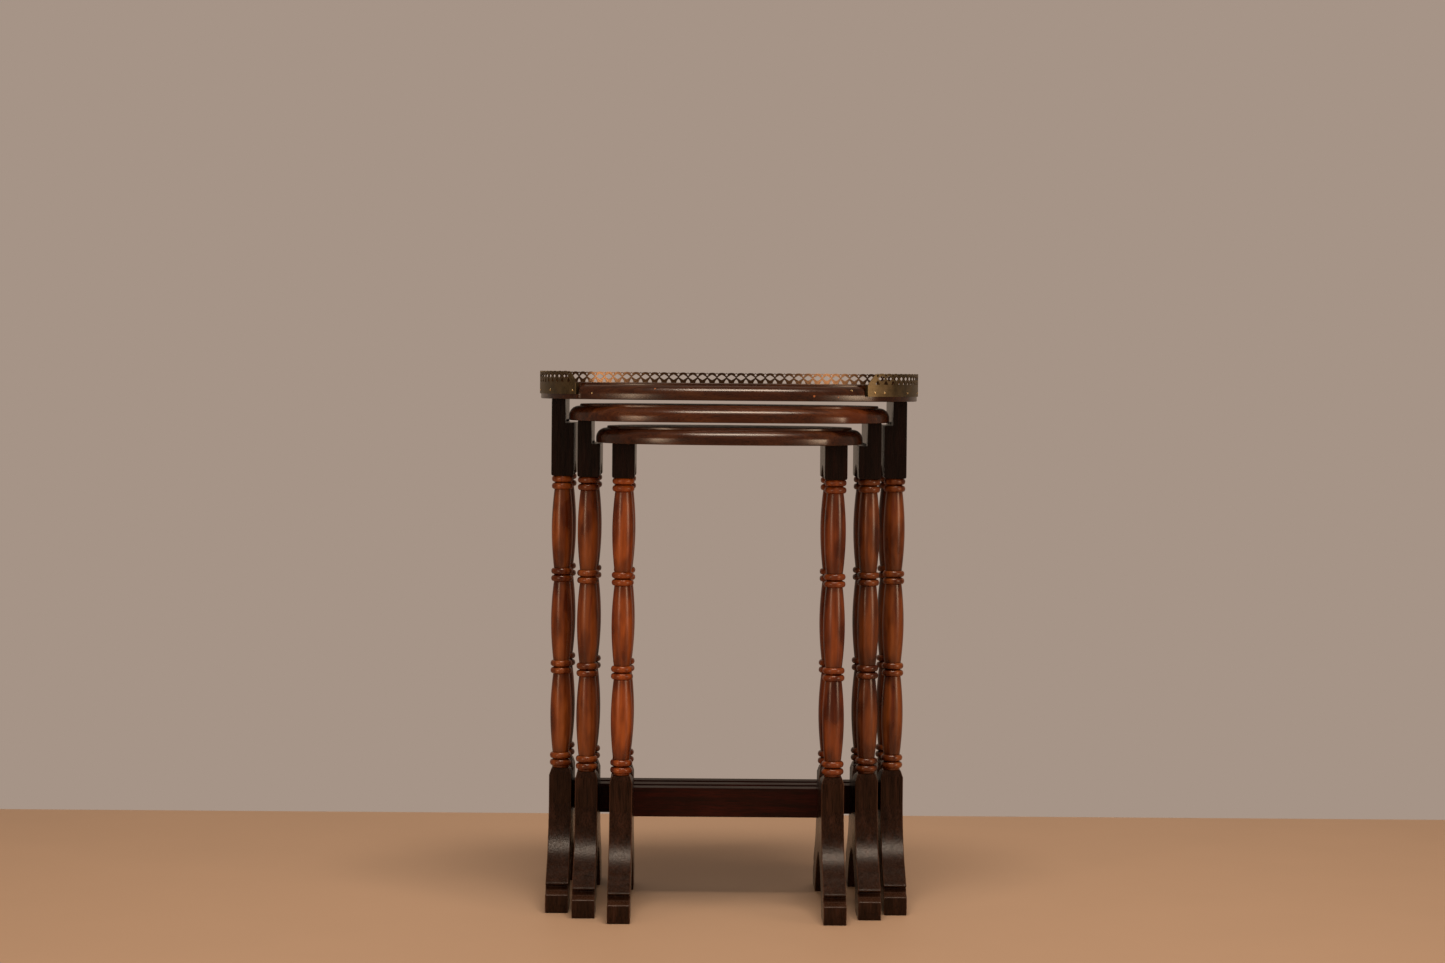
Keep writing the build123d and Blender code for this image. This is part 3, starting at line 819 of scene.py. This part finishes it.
def front_column(x):
    """The place and outward direction on the bowed front at a given x."""
    centre, radius = large_plan.centres[0], large_plan.bows[0]
    out = Vector((x, -sqrt(radius ** 2 - x ** 2))) / radius
    return centre + out * radius, out


columns, profiles = [], []
moulded = moulded_profile(large_low.z, surface)
square = square_profile(large_low.z, surface)
slotted = slot_profile(large_low.z, surface)
# At each X where the front's profile changes, two columns stand in one place: before and after.
changes = {-opening_left: (square, slotted), -opening_left + kerf_width: (slotted, moulded),
           opening_right - kerf_width: (moulded, slotted), opening_right: (slotted, square)}
marks = sorted(changes)
plain = large_plan.columns((60, 26, 22))
front_run = sorted((c for c in plain if c[1].y < facing_front), key=lambda c: c[0].x)
others = [c for c in plain if c[1].y >= facing_front]
for place, out in front_run:
    while marks and marks[0] < place.x:
        mark = marks.pop(0)
        spot = front_column(mark)
        columns += [spot, spot]
        profiles += list(changes[mark])
    if any(abs(place.x - change) < nearest_column for change in changes):
        continue
    columns.append((place, out))
    on_moulding = -opening_left + kerf_width < place.x < opening_right - kerf_width
    in_opening = -opening_left < place.x < opening_right
    profiles.append(moulded if on_moulding else slotted if in_opening else square)
columns += others
profiles += [square] * len(others)
verts, faces = board(columns, profiles, large_plan.middle)
piece("large_top_board", verts, faces, mahogany["large"], "large_table", "polished_mahogany",
      "large_top", flat_below=40)


# ---- Brass gallery ------------------------------------------------------------------------
# A strip of 1 mm brass, pierced with interlaced arcs under a scalloped rim, bent round the
# top and pinned to its edge. Its face has aged to olive brown and is rubbed bright inside.
strip_thickness = 1 * mm
strip_proud = 0.2 * mm
strip_rise = 12 * mm
end_slope = 8 * mm
tab_length = 4.5 * mm
cell_pitch = 10.8 * mm
strand = 1.3 * mm
lattice_low = 0.3 * mm         # above the top's surface
lattice_middle = 6.5 * mm
diamond_height = 3 * mm        # half the height of a diamond opening
strand_arc = 24 * mm           # radius of the arcs that interlace
triangle_half = 2.5 * mm
triangle_height = lattice_middle - 1.9 * mm
triangle_arc = 7 * mm
hole_radius = 1.25 * mm
hole_rise = 2.9 * mm           # above the lattice's middle
scallop_gap = 0.9 * mm         # from a cell's side to where its scallop starts
scallop_drop = 1.4 * mm        # below the top of the rim
scallop_arc = 9 * mm
bead_drop = 1.3 * mm


def strip_path():
    """Points along the strip's inner face, from the right slot round the back to the left."""
    run = large_plan.columns((160, 70, 60))
    start = next(i for i, c in enumerate(run) if c[0].x > opening_right and c[1].y < 0)
    first = front_column(opening_right)
    last = front_column(-opening_left)
    path = [first]
    for place, out in run[start:]:
        if out.y < facing_front and -opening_left < place.x < 0:
            break
        path.append((place, out))
    path.append(last)
    return path


path = strip_path()
lengths = [0.0]
for (a, _), (b, _) in zip(path, path[1:]):
    lengths.append(lengths[-1] + (b - a).length)
strip_length = lengths[-1]


def on_strip(s, z, depth):
    """A point of the strip: s along it, z above the floor, depth outwards from its inside."""
    s = min(max(s, 0.0), strip_length)
    low = min(bisect_right(lengths, s), len(lengths) - 1) - 1
    share = (s - lengths[low]) / (lengths[low + 1] - lengths[low])
    place = path[low][0].lerp(path[low + 1][0], share)
    out = path[low][1].lerp(path[low + 1][1], share).normalized()
    spot = place + out * (strip_proud + depth)
    return (large_plan.middle.x + spot.x, large_plan.middle.y + spot.y, z)


solid_ends = 6 * mm            # of the strip's length, left out when cells are counted
cells = round((strip_length - solid_ends) / cell_pitch)
pitch = strip_length / cells


def cell_outlines():
    """The openings of one cell, centred on a diamond, and the line of its scalloped rim."""
    half = pitch / 2
    reach = half - strand / 2
    diamond = []
    for way_x, way_z in ((1, 1), (-1, 1), (-1, -1), (1, -1)):
        side = (way_x * reach, lattice_middle)
        tip = (0.0, lattice_middle + way_z * diamond_height)
        a, b = (side, tip) if way_x * way_z > 0 else (tip, side)
        diamond += arc_between(a, b, -strand_arc, 4)[:-1]
    left, right = (half - triangle_half, lattice_low), (half + triangle_half, lattice_low)
    peak = (half, triangle_height)
    triangle = [left, right] + arc_between(right, peak, -triangle_arc, 4)[1:]
    triangle += arc_between(peak, left, -triangle_arc, 4)[1:-1]
    hole = arc((half, lattice_middle + hole_rise), hole_radius, 0, 360, 10)[:-1]
    rim = arc_between((-half + scallop_gap, strip_rise - scallop_drop),
                      (half - scallop_gap, strip_rise - scallop_drop), scallop_arc, 8)
    bead = arc((half, strip_rise - bead_drop), scallop_gap, 150, 30, 4)
    return diamond, triangle, hole, rim + bead


diamond, triangle, hole, rim = cell_outlines()
slope_start = 1.5 * mm         # the ends rise from this height in a straight slope
slope_stop = strip_rise - 1.2 * mm
end_margin = 2 * mm            # solid brass kept at each end
slope_margin = 1.6 * mm        # and beside each slope,
slope_ease = 1 * mm            # from this far below its start


def clear_of_ends(points):
    """Whether an opening leaves solid brass between itself and the strip's ends."""
    for s, z in points:
        near = min(s, strip_length - s)
        if z > slope_start - slope_ease:
            slope = end_slope * (z - slope_start) / (strip_rise - slope_start)
            if near < slope + slope_margin:
                return False
        elif near < end_margin:
            return False
    return True


def strip_polygon():
    """The whole strip laid flat: its outer outline and every opening, in s and z."""
    top = []
    holes = []
    for c in range(cells):
        s = (c + 0.5) * pitch
        top += [(s + x, z) for x, z in rim]
        for opening in (diamond, triangle, hole) if c < cells - 1 else (diamond,):
            holes.append([(s + x, z) for x, z in opening])
    kept = [p for p in top if end_slope < p[0] < strip_length - end_slope]
    outer = [(0, -strip_drop), (strip_length, -strip_drop), (strip_length, slope_start),
             (strip_length - end_slope, slope_stop)]
    outer += list(reversed(kept))
    outer += [(end_slope, slope_stop), (0, slope_start)]
    return outer, [points for points in holes if clear_of_ends(points)]


outer, holes = strip_polygon()


def refine(points, step):
    """A closed line with extra points wherever two are further apart than step."""
    fine = []
    for i, a in enumerate(points):
        b = points[(i + 1) % len(points)]
        count = max(1, ceil(hypot(b[0] - a[0], b[1] - a[1]) / step))
        fine += [(a[0] + (b[0] - a[0]) * k / count, a[1] + (b[1] - a[1]) * k / count)
                 for k in range(count)]
    return fine


longest_side = 2.7 * mm        # short sides let the strip bend smoothly round the corners
face_rows = 4                  # rows of extra points across the plain lower half
row_step = 2.35 * mm
loops = [refine(outer, longest_side)] + holes
flat_points, flat_edges = [], []
for loop in loops:
    start = len(flat_points)
    flat_points += [Vector(p) for p in loop]
    flat_edges += [(start + i, start + (i + 1) % len(loop)) for i in range(len(loop))]
for row in range(face_rows):
    for i in range(1, cells * 4):
        flat_points.append(Vector((i * strip_length / (cells * 4),
                                   -strip_drop + (row + 1) * row_step)))
flat_points, _, flat_faces = delaunay_2d_cdt(flat_points, flat_edges, [], 0, 1e-7)[:3]


def inside(point, loop):
    """Whether a point lies within a closed line."""
    hit = False
    for i, (x1, y1) in enumerate(loop):
        x2, y2 = loop[i - 1]
        if (y1 > point[1]) != (y2 > point[1]):
            if point[0] < x1 + (point[1] - y1) / (y2 - y1) * (x2 - x1):
                hit = not hit
    return hit


hole_spans = [(min(p[0] for p in h), max(p[0] for p in h), h) for h in holes]
kept_faces = []
for face in flat_faces:
    centre = sum((flat_points[i] for i in face), Vector((0, 0))) / len(face)
    if not inside(centre, loops[0]):
        continue
    if any(a < centre.x < b and inside(centre, h) for a, b, h in hole_spans):
        continue
    kept_faces.append(face)
# The kept faces make the outer side. The inner side repeats them, and quads join every rim.
used = sorted({i for face in kept_faces for i in face})
index = {old: new for new, old in enumerate(used)}
count = len(used)
verts = [on_strip(flat_points[i].x, surface + flat_points[i].y, strip_thickness) for i in used]
verts += [on_strip(flat_points[i].x, surface + flat_points[i].y, 0) for i in used]
faces = [tuple(index[i] for i in face) for face in kept_faces]
edge_use = {}
for face in faces:
    for i, a in enumerate(face):
        b = face[(i + 1) % len(face)]
        edge_use.setdefault((min(a, b), max(a, b)), []).append((a, b))
rims = [use[0] for use in edge_use.values() if len(use) == 1]
faces += [tuple(count + i for i in reversed(face)) for face in faces]
faces += [(b, a, count + a, count + b) for a, b in rims]
wear_and_painted_light = [0.0] * count + [1.0] * count


def tab(s, way, first):
    """The strip's end, turned in at a right angle to lie in its slot: a bent tongue."""
    place = on_strip(s, 0, 0)
    outer_place = on_strip(s, 0, strip_thickness)
    inwards = Vector((place[0] - outer_place[0], place[1] - outer_place[1])).normalized()
    along = Vector((-inwards.y, inwards.x)) * way
    near = Vector(outer_place[:2])
    far = near + along * strip_thickness
    tongue = inwards * (tab_length + strip_thickness)
    ring = [near, far, far + tongue, near + tongue]
    low_z, high_z = surface - strip_drop, surface - 0.2 * mm
    made = [(p.x, p.y, low_z) for p in ring] + [(p.x, p.y, high_z) for p in ring]
    quads = [(0, 1, 5, 4), (1, 2, 6, 5), (2, 3, 7, 6), (3, 0, 4, 7), (3, 2, 1, 0), (4, 5, 6, 7)]
    if way > 0:
        quads = [tuple(reversed(q)) for q in quads]
    return made, [tuple(first + i for i in q) for q in quads]


for s, way in ((0.0, 1), (strip_length, -1)):
    more, quads = tab(s, way, len(verts))
    verts += more
    faces += quads
    wear_and_painted_light += [0.0] * len(more)


def aged_brass(name):
    """Old brass: olive-brown tarnish in clouds, dull outside, warmer and smoother inside.

    Its wear_and_painted_light is 1 on the inner side.
    """
    material, tree, shader = new_material(name)
    clouds = grain(tree, "Z", 9 * mm, 1, 4.0)
    fine = grain(tree, "Z", 1.1 * mm, 1, 3.0)
    tarnish = ramp(tree, clouds, (0.3, "#6c5f48"), (0.52, "#7d6f55"), (0.75, "#8d7e63"))
    speck = ramp(tree, fine, (0.35, "#7d7266"), (0.55, "#ffffff"))
    face = node(tree, "Mix", {"data_type": "RGBA", "blend_type": "MULTIPLY"},
                i0=0.4, i6=tarnish, i7=speck)
    inner = node(tree, "Attribute", {"attribute_name": "wear_and_painted_light"}).outputs["Fac"]
    colour = node(tree, "Mix", {"data_type": "RGBA"}, i0=inner, i6=face.outputs[2],
                  i7=linear("#725843"))
    tree.links.new(colour.outputs[2], shader.inputs["Base Color"])
    shader.inputs["Metallic"].default_value = 1.0
    gloss = node(tree, "MapRange", Value=clouds, From_Min=0.3, From_Max=0.7,
                 To_Min=0.4, To_Max=0.55)
    inner_gloss = node(tree, "Mix", i0=inner, i2=gloss.outputs[0], i3=0.28)
    tree.links.new(inner_gloss.outputs[0], shader.inputs["Roughness"])
    bump = node(tree, "Bump", Strength=0.25, Distance=0.08 * mm, Height=fine)
    tree.links.new(bump.outputs[0], shader.inputs["Normal"])
    return material


brass = aged_brass("aged_brass_strip")
piece("gallery_strip", verts, faces, brass, "large_table", "aged_brass", "gallery", wear_and_painted_light=wear_and_painted_light,
      flat_below=35)


# ---- Pins and nails -----------------------------------------------------------------------
# Round-headed brass pins hold the strip to the edge, and two fine nails pass through the
# moulded front. Their domed heads are rubbed brighter than the strip.
bright_brass, tree, shader = new_material("rubbed_brass_pin")
rub = grain(tree, "Z", 0.8 * mm, 1)
tree.links.new(ramp(tree, rub, (0.3, "#b79b6c"), (0.7, "#f0dcae")), shader.inputs["Base Color"])
shader.inputs["Metallic"].default_value = 1.0
pin_gloss = node(tree, "MapRange", Value=rub, To_Min=0.2, To_Max=0.35)
tree.links.new(pin_gloss.outputs[0], shader.inputs["Roughness"])
# The lathe's profiles of a pin and a nail, as (radius, height) in millimetres.
pin_head = [(0.55, -7.6), (0.6, -7.0), (0.6, 0.0), (1.0, 0.0), (1.2, 0.12), (1.19, 0.3),
            (1.06, 0.52), (0.82, 0.68), (0.5, 0.77), (0.2, 0.8)]
nail_head = [(0.4, -8.6), (0.8, -7.6), (0.8, -0.1), (1.0, -0.1), (0.98, 0.1), (0.72, 0.24),
             (0.3, 0.3)]


pin_sides = 20


def turned(profile, place, out):
    """A pin of (radius, height) in millimetres, standing on place and pointing along out."""
    turn = out.to_track_quat("Z", "Y")
    rings = [[tuple(place + turn @ Vector((r * mm * cos(2 * pi * i / pin_sides),
                                           r * mm * sin(2 * pi * i / pin_sides), h * mm)))
              for i in range(pin_sides)] for r, h in profile]
    return capped(rings)


def gather(parts):
    """Several meshes as one."""
    verts, faces = [], []
    for more, quads in parts:
        start = len(verts)
        verts += more
        faces += [tuple(start + i for i in f) for f in quads]
    return verts, faces


pin_spacing = 44 * mm
pin_height = surface - 8.2 * mm
end_pins = (7.5 * mm, 20.5 * mm)     # the right end holds two, the left end one
last_pin = 4.8 * mm
nail_proud = 0.3 * mm


def islands(name):
    """The box of each separate solid in a CAD node, as its lowest and highest corner."""
    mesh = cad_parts[name].data
    parent = list(range(len(mesh.vertices)))

    def root(i):
        while parent[i] != i:
            parent[i] = parent[parent[i]]
            i = parent[i]
        return i

    places = {}
    for vertex in mesh.vertices:
        key = tuple(round(c, 6) for c in vertex.co)
        places.setdefault(key, vertex.index)
        parent[root(vertex.index)] = root(places[key])
    for edge in mesh.edges:
        parent[root(edge.vertices[0])] = root(edge.vertices[1])
    groups = {}
    for vertex in mesh.vertices:
        groups.setdefault(root(vertex.index), []).append(vertex.co)
    return [(Vector(min(p[i] for p in g) for i in range(3)),
             Vector(max(p[i] for p in g) for i in range(3)))
            for g in groups.values()]


pins = []
between = strip_length - end_pins[1] - last_pin
gaps = round(between / pin_spacing)
pin_places = [end_pins[0]] + [end_pins[1] + between * i / gaps for i in range(gaps + 1)]
for s in pin_places:
    place = Vector(on_strip(s, pin_height, strip_thickness))
    out = (place - Vector(on_strip(s, pin_height, 0))).normalized()
    pins.append(turned(pin_head, place, out))
verts, faces = gather(pins)
piece("gallery_pin_set", verts, faces, bright_brass, "large_table", "aged_brass", "gallery_pins",
      flat_below=50)

nails = []
for low, high in islands("front_nails"):
    middle = (low + high) / 2
    nails.append(turned(nail_head, Vector((middle.x, low.y + nail_proud, middle.z)),
                        Vector((0, -1, 0))))
verts, faces = gather(nails)
piece("front_nail_pair", verts, faces, bright_brass, "large_table", "aged_brass", "front_nails",
      flat_below=50)


# ---- Studio -------------------------------------------------------------------------------
# A pale floor before a warm grey ground, and a long lens at the height of the table tops. Soft
# lights at the sides and overhead draw the highlights. The fills before and behind stay out of
# every reflection, so that dark wood stays dark; the wall's own glow shows at grazing edges.
def matt(name, code, rough):
    """A plain painted surface, with a trace of unevenness."""
    material, tree, shader = new_material(name)
    clouds = grain(tree, "Z", 160 * mm, 1, 2.0)
    shades = node(tree, "MapRange", Value=clouds, To_Min=0.97, To_Max=1.03)
    tint = node(tree, "Mix", {"data_type": "RGBA", "blend_type": "MULTIPLY"}, i0=1.0,
                i6=linear(code), i7=shades.outputs[0])
    tree.links.new(tint.outputs[2], shader.inputs["Base Color"])
    shader.inputs["Roughness"].default_value = rough
    return material


floor_back = 0.6
floor_reach = 3.5
mesh = bpy.data.meshes.new("studio_floor")
mesh.from_pydata([(-floor_reach, -floor_reach, 0), (floor_reach, -floor_reach, 0),
                  (floor_reach, floor_back, 0), (-floor_reach, floor_back, 0)], [], [(0, 1, 2, 3)])
mesh.materials.append(matt("pale_floor", "#c0a187", 0.6))
floor = bpy.data.objects.new("studio_floor", mesh)
bpy.context.scene.collection.objects.link(floor)
floor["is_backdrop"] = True


def soft_light(name, place, aim, width, height, watts, code):
    """A rectangular soft box that faces a point."""
    data = bpy.data.lights.new(name, "AREA")
    data.shape = "RECTANGLE"
    data.size, data.size_y = width, height
    data.energy = watts
    data.color = linear(code)[:3]
    made = bpy.data.objects.new(name, data)
    made.location = place
    made.rotation_euler = (Vector(aim) - Vector(place)).to_track_quat("-Z", "Y").to_euler()
    bpy.context.scene.collection.objects.link(made)
    return made


middle = Vector((0, 0, 0.3))       # the lights face the middle of the nest
soft_light("left_light", (-1.9, -2.3, 0.75), middle, 0.28, 0.9, 12, "#ffdcb8")
soft_light("right_light", (2.3, -1.75, 0.75), middle, 0.6, 0.9, 16.5, "#ffdcb8")
soft_light("overhead_light", (0.1, -0.75, 2.6), middle, 1.3, 0.6, 42, "#ffe8d0")
fill = soft_light("front_fill", (0, -4.2, 2.0), middle, 5.0, 2.5, 38, "#ffeedc")
fill.visible_glossy = False
back = soft_light("back_fill", (0, 3.2, 2.6), middle, 4.0, 2.0, 12, "#ffe8d0")
back.visible_glossy = False
back.visible_camera = False
wall = soft_light("wall_bounce", (0, 2.6, 2.0), (0, 0, 2.0), 5.0, 4.0, 13, "#e8cdb6")
wall.visible_camera = False

world = bpy.data.worlds.new("studio_world")
bpy.context.scene.world = world
world.use_nodes = True
tree = world.node_tree
ground = tree.nodes["Background"]
ground.inputs["Color"].default_value = linear("#a69487")
room = node(tree, "Background", Color=linear("#ffe0c4"), Strength=0.16)
seen = node(tree, "LightPath").outputs["Is Camera Ray"]
both = node(tree, "MixShader", i0=seen, i1=room.outputs[0], i2=ground.outputs[0])
tree.links.new(both.outputs[0], tree.nodes["World Output"].inputs["Surface"])
bpy.context.scene.view_settings.view_transform = "Standard"

camera_place = (-0.045, -3.168, 0.552)
camera_right, camera_down, camera_roll = 0.7, 1.95, 0.53     # degrees
camera_data = bpy.data.cameras.new("camera")
camera_data.sensor_width = 36
camera_data.lens = 74.14
camera_data.clip_end = 50
camera = bpy.data.objects.new("camera", camera_data)
bpy.context.scene.collection.objects.link(camera)
turned_right = Matrix.Rotation(radians(-camera_right), 4, "Z")
tilted_down = Matrix.Rotation(radians(90 - camera_down), 4, "X")
rolled = Matrix.Rotation(radians(camera_roll), 4, "Z")
camera.matrix_world = Matrix.Translation(camera_place) @ turned_right @ tilted_down @ rolled
bpy.context.scene.camera = camera

low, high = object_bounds()
